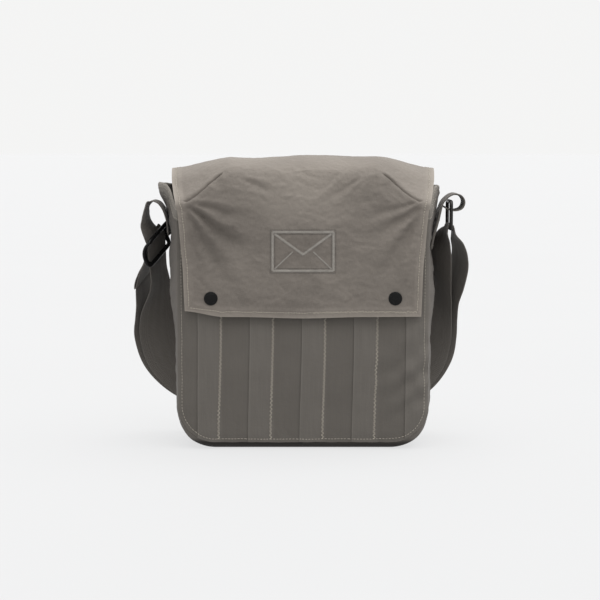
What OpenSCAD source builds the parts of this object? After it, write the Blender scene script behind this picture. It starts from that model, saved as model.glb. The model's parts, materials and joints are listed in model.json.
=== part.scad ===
// Crossbody mail bag: a soft nylon body on a peaked side gusset, a two-part flap closed by two
// press studs, and one length of webbing doubled through a ring and a slider as the strap.
// Frame: X across the bag, Y from front (-) to back (+), Z up, origin on the ground under its middle.

/* [Body] */
// Width of the front and back panels
panel_w = 244; // [236:1:250]
// Depth of the body from the front cloth to the back cloth
bag_d = 80; // [76:1:84]
// Height of the mouth above the ground
mouth_z = 252; // [250:1:253]
// Radius of the two lower corners
corner_r = 38; // [30:1:44]
// How far the left gusset peaks outwards at the mouth
peak_left = 13; // [10:0.5:14]
// How far the right gusset peaks outwards at the mouth
peak_right = 11; // [8:0.5:11]

/* [Cloth] */
// Thickness of the outer nylon
cloth_t = 1; // [0.8:0.1:1.1]
// Thickness of the lining
lining_t = 0.6; // [0.4:0.1:0.7]
// Thickness of one front tape
tape_t = 0.8; // [0.6:0.1:0.8]
// Thickness of the flap's outer cloth
flap_cloth_t = 1.2; // [0.9:0.1:1.2]

/* [Front tapes] */
// Distance from one tape's open edge to the next
tape_pitch = 50; // [48:1:50]
// How far each tape laps over its neighbour
tape_lap = 25; // [20:1:25]

/* [Flap] */
// Half width of the flap's crown
crown_half = 126; // [122:1:128]
// Height of the flap's lower edge above the ground
flap_low = 127; // [120:1:135]
// Half width of the flap at its lower edge
flap_half_low = 114; // [110:1:116]

/* [Press studs] */
// Distance of each press stud from the middle
stud_x = 88; // [86:0.5:90]
// Height of the press studs above the ground
stud_z = 147; // [140:1:155]
// Radius of the domed caps
cap_r = 6.5; // [6:0.1:7]

/* [Strap] */
// Width of the webbing
web_w = 38; // [36:1:38]
// Thickness of the webbing
web_t = 1.4; // [1.2:0.1:1.4]

/* [Hidden] */
$fn = 64;

half_d = bag_d / 2;
flare_z = 196;              // where the gusset starts to peak
flare_half = 36;            // half depth of the peaked part
binding_h = 14;             // how far the mouth binding reaches down
binding_t = 0.6;
lining_gap = 2;             // room between the outer cloth and the lining
board_t = 2;
tapes_top = mouth_z - binding_h;
first_edge = -2 * tape_pitch - 1;  // open edge of the second tape

// The flap's hinge lines and layers
fold_y = -half_d - 6.4;     // middle of the flap's face
fold_z = mouth_z + 10;      // front fold line
seam_y = half_d + 3.2;      // rear seam line, just behind the cloth
seam_z = mouth_z + 4;
hinge_gap = 1.5;            // cloth left out either side of a hinge line
flap_lining_t = 0.8;
flap_out = fold_y - (flap_cloth_t + flap_lining_t) / 2;
flap_in = fold_y + (flap_cloth_t + flap_lining_t) / 2;
flap_back = seam_y - 0.6;
dome_top = mouth_z + 24;
dome_rise = 10;             // how much higher the crown is in the middle
dome_r = (crown_half * crown_half + dome_rise * dome_rise) / (2 * dome_rise);

// Press studs
post_r = 1.5;
hole_r = 1.55;
stud_disc_t = 0.8;
stud_seats = [-half_d - 2 * tape_t, -half_d - tape_t];  // left on a lap, right on one tape

// Strap hardware. The strap lifts about a line along X at this height.
lift_z = 236;
root_x = -143.2;            // where the strap leaves the sewn root
root_half = web_w / 2 - 1.5;  // drawn in at its edges, clear of the strap as it swings
tab_x = 134.4;              // where the ring's loop leaves the sewn tab
ring_top = [143, 0, 238.2];
ring_drop = 26;             // from the top bar to the bottom bar
ring_inside = 40.5;         // clear width of the ring and the slider
wire_r = 1.75;

slider_at = [-143.4, -1, 197.6];
slider_down = [0, 0.46, -0.888];
slider_across = [0.351, 0.831, 0.431];

function unit(v) = v / norm(v);
function square_to(v, axis) = unit(v - (v * unit(axis)) * unit(axis));

// Point at share t of the way from b to c on a smooth curve through a, b, c and d
function smooth(a, b, c, d, t) =
    0.5 * (2 * b + (c - a) * t + (2 * a - 5 * b + 4 * c - d) * t * t
    + (3 * b - a - 3 * c + d) * t * t * t);
function at(list, i) = list[max(0, min(len(list) - 1, i))];
function curve(list, steps) = [
    for (i = [0:len(list) - 2], k = [0:steps - 1])
        smooth(at(list, i - 1), at(list, i), at(list, i + 1), at(list, i + 2), k / steps),
    list[len(list) - 1]
];
function heading(line, i) = unit(at(line, i + 1) - at(line, i - 1));

// A shape drawn in X and Z, given depth from y0 to y1
module slab(y0, y1) {
    translate([0, y1, 0]) rotate([90, 0, 0]) linear_extrude(y1 - y0) children();
}

// Bag panel outline: square at the top, round at the two lower corners
module panel_shape(w, top, r, low = 0) {
    translate([-w / 2, low + r]) square([w, top - low - r]);
    translate([-w / 2 + r, low]) square([w - 2 * r, top - low]);
    for (side = [-1, 1]) translate([side * (w / 2 - r), low + r]) circle(r);
}

module stud_holes() {
    for (side = [-1, 1])
        translate([side * stud_x, 0, stud_z]) rotate([90, 0, 0]) cylinder(r = hole_r, h = bag_d);
}

// ---- Body -------------------------------------------------------------------------------------

module back_panel() {
    color("#66615c") slab(half_d - cloth_t, half_d) panel_shape(panel_w, mouth_z, corner_r);
}

module front_panel() {
    color("#5d5952") difference() {
        slab(-half_d, -half_d + cloth_t) panel_shape(panel_w, mouth_z, corner_r);
        stud_holes();
    }
}

// Open left edge and hidden right edge of tape i, counted from the left side seam
function tape_left(i) = i == 1 ? -panel_w : first_edge + (i - 2) * tape_pitch;
function tape_right(i) = first_edge + (i - 1) * tape_pitch + tape_lap;

// A woven tape down the front. Its left stretch lies on its neighbour and its right stretch on the panel.
module front_tape(i) {
    left = tape_left(i);
    lap = i == 1 ? 0 : tape_lap;
    color(i % 2 == 0 ? "#615d57" : "#57534d") difference() {
        intersection() {
            union() {
                if (i > 1)
                    translate([left, -half_d - 2 * tape_t, 0]) cube([lap + tape_t, tape_t, tapes_top]);
                translate([left + lap, -half_d - tape_t, 0]) cube([tape_right(i) - left - lap, tape_t, tapes_top]);
            }
            slab(-half_d - 3 * tape_t, -half_d) panel_shape(panel_w - 2, tapes_top, corner_r - 1, 1);
        }
        stud_holes();
    }
}

// Solid peak on one side of the bag, pushed in by shift. It grows up to the binding and is straight above it.
module peak(side, out, shift) {
    x0 = side * (panel_w / 2 - shift - 0.2);
    tip = side * (panel_w / 2 + out - shift);
    points = [
        [x0, -flare_half, flare_z], [x0, flare_half, flare_z], [x0, flare_half, tapes_top],
        [x0, -flare_half, tapes_top], [tip, 0, tapes_top]
    ];
    faces = [[0, 1, 2, 3], [0, 3, 4], [3, 2, 4], [2, 1, 4], [1, 0, 4]];
    polyhedron(points, side > 0 ? faces : [for (f = faces) [for (k = [len(f) - 1:-1:0]) f[k]]]);
    translate([0, 0, tapes_top]) linear_extrude(binding_h + shift)
        polygon([[x0, -flare_half], [x0, flare_half], [tip, 0]]);
}

// One strip of cloth up one side, under the base and up the other side, peaked outwards at the mouth
module gusset() {
    color("#68645f") difference() {
        union() {
            slab(-half_d + cloth_t, half_d - cloth_t) panel_shape(panel_w, mouth_z, corner_r);
            peak(-1, peak_left, 0);
            peak(1, peak_right, 0);
        }
        slab(-half_d, half_d)
            panel_shape(panel_w - 2 * cloth_t, mouth_z + 5, corner_r - cloth_t, cloth_t);
        peak(-1, peak_left, cloth_t);
        peak(1, peak_right, cloth_t);
    }
}

// Outline of the mouth seen from above, grown by grow
module mouth_shape(grow) {
    w = panel_w / 2 + grow;
    d = half_d + grow;
    polygon([
        [-w, -d], [w, -d], [w, -flare_half], [w + peak_right, 0], [w, flare_half],
        [w, d], [-w, d], [-w, flare_half], [-w - peak_left, 0], [-w, -flare_half]
    ]);
}

// Folded binding over the raw edge of the mouth
module mouth_binding() {
    color("#6d6963") difference() {
        translate([0, 0, tapes_top]) linear_extrude(binding_h + binding_t) difference() {
            mouth_shape(binding_t);
            mouth_shape(-cloth_t - binding_t - 0.2);
        }
        translate([0, 0, tapes_top - 1]) linear_extrude(binding_h + 1) difference() {
            mouth_shape(0.001);
            mouth_shape(-cloth_t - 0.4);
        }
    }
}

module lining_front() {
    color("#3c3a37") slab(-half_d + cloth_t + 1.4, -half_d + cloth_t + 1.4 + lining_t)
        panel_shape(panel_w - 2 * lining_gap - 2, tapes_top - 1, corner_r - 3, cloth_t + board_t + 0.4);
}

module lining_back() {
    color("#3c3a37") slab(half_d - cloth_t - 1.4 - lining_t, half_d - cloth_t - 1.4)
        panel_shape(panel_w - 2 * lining_gap - 2, tapes_top - 1, corner_r - 3, cloth_t + board_t + 0.4);
}

module lining_gusset() {
    w = panel_w - 2 * lining_gap - 2;
    low = cloth_t + board_t + 0.4;
    inner_y = half_d - cloth_t - 1.4 - lining_t;
    color("#403d3a") slab(-inner_y, inner_y) difference() {
        panel_shape(w, tapes_top - 1, corner_r - 3, low);
        panel_shape(w - 2 * lining_t, tapes_top + 5, corner_r - 3 - lining_t, low + lining_t);
    }
}

// Stiff board between the base cloth and the lining, which lets the bag stand
module base_board() {
    color("#8a7f6c") translate([0, 0, cloth_t + 0.2]) linear_extrude(board_t) difference() {
        square([panel_w - 2 * corner_r - 2, bag_d - 8], center = true);
        for (x = [-1, 1], y = [-1, 1])
            translate([x * (panel_w / 2 - corner_r - 1), y * (half_d - 4)]) circle(6);
    }
}

// Slip pocket sewn to the back lining, open at the top
module inner_pocket() {
    pocket_w = 150;
    pocket_h = 115;
    back_y = half_d - cloth_t - 1.4 - lining_t;
    color("#45423e") difference() {
        translate([-pocket_w / 2, back_y - 1.8, 90]) cube([pocket_w, 1.8, pocket_h]);
        translate([-pocket_w / 2 + 2, back_y - 1.2, 92]) cube([pocket_w - 4, 2, pocket_h]);
    }
}

// ---- Flap -------------------------------------------------------------------------------------

// The part of the flap that is sewn to the back panel
module flap_root() {
    color("#7c766f") slab(half_d + binding_t, half_d + binding_t + flap_cloth_t)
        translate([-crown_half + 4, mouth_z - 27]) square([2 * crown_half - 8, seam_z - hinge_gap - mouth_z + 27]);
}

// Cross-section of the crown down to low, with its top lowered by shift
module dome(low, shift) {
    intersection() {
        translate([0, dome_top - dome_r]) circle(dome_r - shift, $fn = 200);
        translate([-crown_half, low]) square([2 * crown_half, dome_top - low + 5]);
    }
}

// A sheet over the top of the bag with a short turn down at the front and the back
module crown_sheet(front_y, back_y, shift, thick) {
    difference() {
        union() {
            slab(front_y, 0) dome(fold_z + hinge_gap, shift);
            slab(-0.001, back_y) dome(seam_z + hinge_gap, shift);
        }
        slab(front_y + thick, back_y - thick) dome(seam_z - 10, shift + thick);
    }
}

module flap_crown_cloth() {
    color("#8f8981") crown_sheet(flap_out, flap_back, 0, flap_cloth_t);
}

module flap_crown_lining() {
    color("#57534e")
        crown_sheet(flap_out + flap_cloth_t, flap_back - flap_cloth_t, flap_cloth_t, flap_lining_t);
}

// Outline of the hanging part of the flap, inset from its side and lower edges
module face_shape(inset) {
    top = fold_z - hinge_gap;
    polygon([
        [-crown_half + 2 + inset, top], [crown_half - 2 - inset, top],
        [flap_half_low - inset, flap_low + inset], [-flap_half_low + inset, flap_low + inset]
    ]);
}

module flap_face_cloth() {
    color("#847d76") difference() {
        slab(flap_out, flap_out + flap_cloth_t) face_shape(0);
        stud_holes();
    }
}

module flap_face_lining() {
    color("#57534e") difference() {
        slab(flap_out + flap_cloth_t, flap_in) face_shape(6);
        stud_holes();
    }
}

// ---- Press studs ------------------------------------------------------------------------------

// Something turned about a stud's axis: y grows towards the back of the bag
module turned(side) {
    translate([side * stud_x, 0, stud_z]) rotate([-90, 0, 0]) children();
}

// Domed caps, each with the rivet that passes through the flap
module stud_caps() {
    dome_h = 2.2;
    ball_r = (cap_r * cap_r + dome_h * dome_h) / (2 * dome_h);
    color("#1f1e1d") for (side = [-1, 1]) turned(side) {
        intersection() {
            translate([0, 0, flap_out - dome_h + ball_r]) sphere(ball_r);
            translate([0, 0, flap_out - dome_h - 1]) cylinder(r = cap_r, h = dome_h + 1);
        }
        translate([0, 0, flap_out - 0.5]) cylinder(r = post_r, h = flap_in - flap_out + 1.3);
    }
}

// Sockets behind the flap, held on the caps' rivets
module stud_sockets() {
    socket_r = 5.6;
    mouth_y = stud_seats[0] - stud_disc_t - 0.2;
    color("#4a4845") for (side = [-1, 1]) turned(side) difference() {
        translate([0, 0, flap_in]) cylinder(r = socket_r, h = mouth_y - flap_in);
        translate([0, 0, flap_in + 1]) cylinder(r = 2.6, h = bag_d);
        translate([0, 0, flap_in - 1]) cylinder(r = hole_r, h = 3);
    }
}

// Studs on the front of the bag, one standing on a lap of two tapes and one on a single tape
module studs() {
    color("#4a4845") for (k = [0, 1]) turned(2 * k - 1) {
        translate([0, 0, stud_seats[k] - stud_disc_t]) cylinder(r = 5.2, h = stud_disc_t);
        translate([0, 0, stud_seats[k] - stud_disc_t - 1.4]) cylinder(r = 1.9, h = 1.8);
        translate([0, 0, stud_seats[k] - stud_disc_t - 1.1]) rotate_extrude() translate([1.7, 0]) circle(0.5);
    }
}

// Posts pressed through the front panel from inside to hold the studs
module stud_posts() {
    color("#9a958c") for (k = [0, 1]) turned(2 * k - 1) {
        translate([0, 0, -half_d + cloth_t]) cylinder(r = 4.8, h = 0.7);
        translate([0, 0, stud_seats[k]]) cylinder(r = post_r, h = -half_d + cloth_t + 0.2 - stud_seats[k]);
    }
}

// ---- Strap ------------------------------------------------------------------------------------

// Outline of a band of the webbing's thickness, times layers, along a line in X and Z
module band_shape(line, layers = 1) {
    fine = curve(line, 4);
    side = [for (i = [0:len(fine) - 1]) let (h = heading(fine, i)) [-h[1], h[0]] * web_t * layers / 2];
    polygon(concat(
        [for (i = [0:len(fine) - 1]) fine[i] + side[i]],
        [for (i = [len(fine) - 1:-1:0]) fine[i] - side[i]]
    ));
}

// End of the webbing sewn up the left gusset, which then arches outwards
module strap_root() {
    line = [[-133, 228.6], [-135.6, 232.6], [-138.6, 235.2], [-141, lift_z], [root_x, lift_z]];
    color("#4d4a46") slab(-root_half, root_half) band_shape(line);
}

// Doubled tab sewn up the right gusset
module ring_tab_base() {
    line = [[130.2, 211], [131.2, 220], [132.6, 228], [133.4, 232.5]];
    color("#4d4a46") {
        slab(-web_w / 2, web_w / 2) band_shape(line, 2);
        translate([tab_x - 1.4, -web_w / 2, 232.4]) cube([1.4, web_w, lift_z + web_t - 232.4]);
    }
}

// Open loop of the same tab, which holds the ring
module ring_tab_loop() {
    start = tab_x + 0.9;
    line = [
        [start, lift_z + 0.75], [139, 240.4], [146, 245], [153, 243.6], [156, 238], [154, 232],
        [147.6, 229.6], [141, 230.8], [137, 233.4], [start, lift_z - 0.75]
    ];
    color("#4d4a46") slab(-web_w / 2, web_w / 2) band_shape(line);
}

// Quarter turn of the ring's wire
module wire_bend(r) {
    rotate_extrude(angle = 90) translate([r, 0]) circle(wire_r);
}

// Rectangular ring of round wire, hanging in the tab's loop
module strap_ring() {
    bend = 4;
    half_in = ring_inside / 2 + wire_r;
    half_up = ring_drop / 2;
    color("#1d1c1b") translate(ring_top - [0, 0, half_up]) rotate([90, 0, 90])
        for (turn = [0, 180]) rotate(turn) {
            translate([half_in - bend, half_up - bend, 0]) wire_bend(bend);
            translate([-half_in + bend, half_up - bend, 0]) rotate(90) wire_bend(bend);
            translate([-half_in + bend, half_up, 0]) rotate([0, 90, 0])
                cylinder(r = wire_r, h = 2 * (half_in - bend));
            translate([half_in, -half_up + bend, 0]) rotate([-90, 0, 0])
                cylinder(r = wire_r, h = 2 * (half_up - bend));
        }
}

down = unit(slider_down);
across = square_to(slider_across, down);
inward = cross(across, -down);   // from the slider towards the bag
function by_slider(x, y, z) = slider_at + x * across - y * down + z * inward;

// Route of the strap: each entry is a point on its middle line and the direction across it.
// It runs from the root through the slider, behind the bag to the ring, and back the same way.
route = [
    [[root_x - 0.4, 0, lift_z], [0, 1, 0]],
    [[-148.4, 0, lift_z], [0, 1, 0]],
    [[-151.8, -0.5, 233.6], [0.02, 1, 0]],
    [[-152.8, -2.5, 228], [0.08, 0.98, 0.08]],
    [[-149, -6, 219], [0.22, 0.93, 0.26]],
    [by_slider(0, 14, 0), across],
    [by_slider(0, -12, 0), across],
    [by_slider(0, -40, 0), across],
    [[-145, 30, 143], [0.62, 0.72, 0.30]],
    [[-147.5, 42, 121], [0.85, 0.48, 0.22]],
    [[-147, 52, 100], [0.92, 0.30, 0.25]],
    [[-140, 59, 76], [0.80, 0.12, 0.59]],
    [[-122, 62, 56], [0.58, 0.03, 0.81]],
    [[-95, 61, 43], [0.36, 0, 0.93]],
    [[-50, 57, 33], [0.15, 0, 0.99]],
    [[0, 55, 29], [0, 0, 1]],
    [[45, 57, 32], [-0.13, 0, 0.99]],
    [[82, 60, 40], [-0.34, 0, 0.94]],
    [[108, 61, 52], [-0.58, 0.04, 0.81]],
    [[125, 57, 72], [-0.82, 0.16, 0.55]],
    [[132, 49, 95], [-0.85, 0.38, 0.36]],
    [[135, 37, 120], [-0.72, 0.6, 0.35]],
    [[137, 24, 145], [-0.5, 0.78, 0.37]],
    [[139, 12, 170], [-0.3, 0.88, 0.35]],
    [[140, 3, 193], [-0.1, 0.97, 0.2]],
    [[139.8, 0, 208], [0, 1, 0.03]],
    [[140.2, 0, 212], [0, 1, 0]],
    [[141.4, 0, 215.2], [0, 1, 0]],
    [[143.2, 0, 216.2], [0, 1, 0]],
    [[145, 0, 215.2], [0, 1, 0]],
    [[146.2, 0, 212], [0, 1, 0]],
    [[147, 0, 208], [0, 1, 0.03]],
    [[151, 1, 198], [-0.1, 0.97, 0.12]],
    [[155, 6, 182], [-0.2, 0.93, 0.3]],
    [[151, 14, 161], [-0.35, 0.85, 0.38]],
    [[144.5, 23, 144], [-0.5, 0.77, 0.38]],
    [[141, 33, 127], [-0.66, 0.66, 0.36]],
    [[139, 44.5, 105], [-0.8, 0.45, 0.4]],
    [[134.5, 55, 82], [-0.86, 0.22, 0.46]],
    [[120, 64.5, 58], [-0.7, 0.08, 0.7]],
    [[96, 66, 42], [-0.45, 0.02, 0.89]],
    [[50, 62, 31.5], [-0.15, 0, 0.99]],
    [[0, 60, 28], [0, 0, 1]],
    [[-50, 62, 31.5], [0.15, 0, 0.99]],
    [[-95, 66.5, 42], [0.36, 0, 0.93]],
    [[-125, 67.5, 55], [0.58, 0.03, 0.81]],
    [[-146, 64.5, 77], [0.78, 0.15, 0.6]],
    [[-154, 57, 102], [0.85, 0.35, 0.35]],
    [[-156.5, 45, 128], [0.62, 0.7, 0.33]],
    [[-158, 35, 146], [0.42, 0.83, 0.36]],
    [[-158.4, 27, 160], [0.36, 0.83, 0.42]]
];

// Last stretch of the strap: up behind the slider, over its middle bar and back down on itself
end_route = [
    [[-158.6, 26, 161.6], [0.36, 0.83, 0.42]],
    [by_slider(0, -28, -11), across],
    [by_slider(0, -14, -4.6), across],
    [by_slider(0, -4, -2), across],
    [by_slider(0, 0.4, -1.9), across],
    [by_slider(0, 2.6, -3.9), across],
    [by_slider(0, 0.4, -5.9), across],
    [by_slider(0, -4, -5.9), across],
    [by_slider(0, -16, -8), across],
    [by_slider(0, -27, -13.2), across]
];

// Flat webbing swept along a route, kept square to it
module webbing(stops, steps) {
    line = curve([for (s = stops) s[0]], steps);
    lie = curve([for (s = stops) s[1]], steps);
    rings = [
        for (i = [0:len(line) - 1]) let (
            h = heading(line, i),
            a = square_to(lie[i], h) * web_w / 2,
            n = unit(cross(h, a)) * web_t / 2
        )
        [line[i] - a - n, line[i] + a - n, line[i] + a + n, line[i] - a + n]
    ];
    last = len(rings) - 1;
    polyhedron(
        [for (r = rings) each r],
        concat(
            [[3, 2, 1, 0]],
            [for (i = [0:last - 1], k = [0:3], half = [0, 1]) let (
                a = 4 * i + k,
                b = 4 * i + (k + 1) % 4
            )
            half == 0 ? [a, b, b + 4] : [a, b + 4, a + 4]],
            [[4 * last, 4 * last + 1, 4 * last + 2, 4 * last + 3]]
        )
    );
}

module strap() {
    color("#4d4a46") webbing(route, 2);
}

module strap_end() {
    color("#4d4a46") webbing(end_route, 3);
}

// Slider: two bars on the bag's side of the webbing and a middle bar behind it, joined at the ends
module slider() {
    reach = 12;
    bar_r = 1.6;
    cheek_t = 2.4;
    inside = ring_inside / 2;
    color("#1d1c1b") multmatrix([
        [across[0], -down[0], inward[0], slider_at[0]],
        [across[1], -down[1], inward[1], slider_at[1]],
        [across[2], -down[2], inward[2], slider_at[2]],
        [0, 0, 0, 1]
    ]) {
        for (end = [-1, 1]) translate([end * (inside + cheek_t / 2), 0, 0]) rotate([0, 90, 0]) {
            for (up = [-1, 1]) {
                translate([-2.9, up * reach, 0]) cylinder(r = bar_r, h = cheek_t, center = true);
            }
            translate([-2.9, 0, 0]) cube([2 * bar_r, 2 * reach, cheek_t], center = true);
            translate([-0.4, 0, 0]) cube([7, 3.6, cheek_t], center = true);
            translate([3.9, 0, 0]) cylinder(r = 1.8, h = cheek_t, center = true);
        }
        for (up = [-1, 1])
            translate([0, up * reach, 2.9]) rotate([0, 90, 0]) cylinder(r = bar_r, h = 2 * inside + 0.2, center = true);
        translate([0, 0, -3.9]) rotate([0, 90, 0]) cylinder(r = 1.1, h = 2 * inside + 0.2, center = true);
    }
}

back_panel();
front_panel();
front_tape(1);  // front_tape_1
front_tape(2);  // front_tape_2
front_tape(3);  // front_tape_3
front_tape(4);  // front_tape_4
front_tape(5);  // front_tape_5
front_tape(6);  // front_tape_6
gusset();
mouth_binding();
lining_front();
lining_back();
lining_gusset();
base_board();
inner_pocket();
flap_root();
stud_posts();
studs();
strap_root();
ring_tab_base();
flap_crown_cloth();
flap_crown_lining();
flap_face_cloth();
flap_face_lining();
stud_caps();
stud_sockets();
ring_tab_loop();
strap_ring();
strap();
strap_end();
slider();
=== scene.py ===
import json
import math

import bpy
import numpy as np
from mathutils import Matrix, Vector, noise
from mathutils.bvhtree import BVHTree

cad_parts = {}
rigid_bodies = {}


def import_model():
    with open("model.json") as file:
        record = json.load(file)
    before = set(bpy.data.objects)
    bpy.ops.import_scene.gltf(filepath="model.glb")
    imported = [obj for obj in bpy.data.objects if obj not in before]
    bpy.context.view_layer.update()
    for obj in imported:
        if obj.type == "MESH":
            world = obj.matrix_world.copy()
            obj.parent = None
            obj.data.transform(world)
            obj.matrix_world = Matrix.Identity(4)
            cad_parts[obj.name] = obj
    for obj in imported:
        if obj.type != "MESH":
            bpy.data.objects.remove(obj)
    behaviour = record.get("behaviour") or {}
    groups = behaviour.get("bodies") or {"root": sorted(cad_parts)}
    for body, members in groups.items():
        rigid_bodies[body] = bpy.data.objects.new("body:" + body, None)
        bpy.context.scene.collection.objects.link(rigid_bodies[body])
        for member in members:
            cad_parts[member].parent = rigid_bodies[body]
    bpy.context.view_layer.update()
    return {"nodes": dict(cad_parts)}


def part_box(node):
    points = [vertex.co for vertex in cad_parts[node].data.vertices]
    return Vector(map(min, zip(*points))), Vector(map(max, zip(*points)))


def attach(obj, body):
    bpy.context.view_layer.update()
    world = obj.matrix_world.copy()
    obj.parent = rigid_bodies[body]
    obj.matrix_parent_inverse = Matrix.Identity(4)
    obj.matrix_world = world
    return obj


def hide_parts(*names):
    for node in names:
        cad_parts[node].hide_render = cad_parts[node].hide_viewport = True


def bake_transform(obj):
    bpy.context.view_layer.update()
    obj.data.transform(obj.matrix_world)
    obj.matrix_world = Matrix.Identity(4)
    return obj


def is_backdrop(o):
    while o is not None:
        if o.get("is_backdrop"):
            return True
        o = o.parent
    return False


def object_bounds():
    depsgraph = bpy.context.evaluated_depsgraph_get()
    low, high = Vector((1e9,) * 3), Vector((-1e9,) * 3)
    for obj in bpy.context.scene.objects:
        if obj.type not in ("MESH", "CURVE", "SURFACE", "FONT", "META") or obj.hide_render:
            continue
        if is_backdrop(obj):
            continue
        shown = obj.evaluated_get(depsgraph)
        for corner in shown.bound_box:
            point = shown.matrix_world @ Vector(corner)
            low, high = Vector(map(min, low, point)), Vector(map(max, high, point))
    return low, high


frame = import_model()


# ---- Studio ----------------------------------------------------------------------------------------
# A pale seamless floor under an even pale sky, with one broad soft light overhead.
# The camera stands in front of the bag, a little above it, with a long lens.

camera_data = bpy.data.cameras.new("camera")
camera_data.lens = 101
camera_data.sensor_width = 36
camera = bpy.data.objects.new("camera", camera_data)
bpy.context.scene.collection.objects.link(camera)
bpy.context.scene.camera = camera
camera_aim = Vector((-0.0029, -0.040, 0.1449))
camera_distance = 1.614
camera_height = math.radians(5.5)
camera_back = Vector((0, -math.cos(camera_height), math.sin(camera_height)))
camera.location = camera_aim + camera_back * camera_distance
camera.rotation_euler = (-camera_back).to_track_quat("-Z", "Y").to_euler()

bpy.context.scene.view_settings.view_transform = "Standard"

sky = bpy.data.worlds.new("sky")
sky.use_nodes = True
sky.node_tree.nodes["Background"].inputs["Color"].default_value = (0.908, 0.908, 0.903, 1)
bpy.context.scene.world = sky

key_data = bpy.data.lights.new("key", "SUN")
key_data.energy = 3.3
key_data.angle = math.radians(75)
key = bpy.data.objects.new("key", key_data)
key.rotation_euler = (math.radians(6), math.radians(11), 0)
bpy.context.scene.collection.objects.link(key)


BAND_SCALE = 0.314                 # Scale of a wave texture whose bands are a metre apart


class Wire:
    """A socket of a material's nodes. It takes part in sums, and makes the nodes that come after it."""

    def __init__(self, tree, socket=None):
        self.tree = tree
        self.socket = socket

    def make(self, kind, settings=None, sockets=None, out=0):
        node = self.tree.nodes.new(kind)
        for name, value in (settings or {}).items():
            if name == "stops":
                ramp = node.color_ramp
                for element, (position, level) in zip(ramp.elements, value):
                    element.position = position
                    element.color = (level, level, level, 1)
            else:
                setattr(node, name, value)
        for name, value in (sockets or {}).items():
            if isinstance(value, Wire):
                self.tree.links.new(value.socket, node.inputs[name])
            else:
                node.inputs[name].default_value = value
        return Wire(self.tree, node.outputs[out] if len(node.outputs) else None)

    def sum(self, operation, first, second):
        return self.make("ShaderNodeMath", {"operation": operation}, {0: first, 1: second})

    def __add__(self, other):
        return self.sum("ADD", self, other)

    def __radd__(self, other):
        return self.sum("ADD", other, self)

    def __sub__(self, other):
        return self.sum("SUBTRACT", self, other)

    def __mul__(self, other):
        return self.sum("MULTIPLY", self, other)

    def place(self, kind="Object"):
        return self.make("ShaderNodeTexCoord", out=kind)

    def marked(self, name):
        return self.make("ShaderNodeAttribute", {"attribute_name": name}, out="Fac")

    def cloudy(self, place, scale, detail=2):
        return self.make("ShaderNodeTexNoise", {}, {"Vector": place, "Scale": scale, "Detail": detail})

    def streaky(self, place, stretch, scale=1, detail=2):
        drawn = self.make("ShaderNodeMapping", {}, {"Vector": place, "Scale": stretch})
        return self.cloudy(drawn, scale, detail)

    def bands(self, direction, place, pitch, more=None):
        sockets = {"Vector": place, "Scale": BAND_SCALE / pitch, **(more or {})}
        return self.make("ShaderNodeTexWave", {"bands_direction": direction}, sockets)

    def ramp(self, value, low, high):
        return self.make("ShaderNodeValToRGB", {"stops": [(low, 0), (high, 1)]}, {"Fac": value})

    def mix(self, share, first, second):
        return self.make("ShaderNodeMix", {"data_type": "RGBA"}, {0: share, 6: first, 7: second}, out=2)

    def bump(self, height, strength, distance, under=None):
        sockets = {"Height": height, "Strength": strength, "Distance": distance}
        if under:
            sockets["Normal"] = under
        return self.make("ShaderNodeBump", {}, sockets)


def new_material(name):
    """A material and the first wire of its nodes. finish_material() ends it."""
    material = bpy.data.materials.new(name)
    material.use_nodes = True
    material.node_tree.nodes.clear()
    return material, Wire(material.node_tree)


def finish_material(start, sockets):
    shader = start.make("ShaderNodeBsdfPrincipled", {}, sockets)
    start.make("ShaderNodeOutputMaterial", {}, {"Surface": shader})


def colour(red, green, blue):
    return (red, green, blue, 1)


def shade(base, times):
    """A paler or deeper shade of a colour."""
    return colour(*(times * part for part in base))


floor_material, start = new_material("floor_paper")
paper = start.cloudy(start.place(), 3)
finish_material(start, {
    "Base Color": start.mix(paper, colour(0.092, 0.0925, 0.093), colour(0.098, 0.0985, 0.099)),
    "Roughness": 0.9,
    "Specular IOR Level": 0.1,
    "Emission Color": colour(0.998, 1.0, 1.004),
    "Emission Strength": 0.69,
})
bpy.ops.mesh.primitive_circle_add(vertices=96, radius=30, fill_type="NGON")
floor = bpy.context.object
floor.name = "floor"
floor.data.materials.append(floor_material)
floor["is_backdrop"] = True


# ---- Front and back panels -------------------------------------------------------------------------
# Two pieces of garment-dyed nylon, square at the mouth and round at the lower corners. They are sewn
# to the gusset with the seams turned in, so their edges draw back and their middles belly out.

MM = 0.001


def box_mm(node):
    low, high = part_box(node)
    return low / MM, high / MM


panel_low, panel_high = box_mm("front_panel")
back_high = box_mm("back_panel")[1]
seam_half = panel_high.x - 1.5     # half width at the side seams
seam_low = panel_low.z + 6.5       # height of the bottom seam
seam_round = 36                    # radius of the lower corners
seam_front = panel_low.y + 1.6
seam_back = back_high.y - 1.6
mouth_top = panel_high.z - 2
mouth_drop = 16                    # how far the mouth sinks at its front corners
mouth_back = mouth_top + 3         # height of the mouth along the back
cloth_thick = 0.7


def ease(low, high, value):
    share = np.clip((value - low) / (high - low), 0, 1)
    return share * share * (3 - 2 * share)


def through(stops, share):
    """Points at shares of the way along smooth curves through the stops. A whole number is a stop."""
    stops = np.asarray(stops, float)
    last = len(stops) - 1
    share = np.clip(share, 0, last)
    i = np.minimum(share.astype(int), last - 1)
    f = (share - i).reshape(share.shape + (1,) * (stops.ndim - 1))
    a, b = stops[np.maximum(i - 1, 0)], stops[i]
    c, d = stops[i + 1], stops[np.minimum(i + 2, last)]
    return 0.5 * (2 * b + (c - a) * f + (2 * a - 5 * b + 4 * c - d) * f**2 + (3 * b - a - 3 * c + d) * f**3)


def over(places, values, place):
    """A smooth curve through values at the places, read at place."""
    return through(values, np.interp(place, places, np.arange(len(places))))


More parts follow.
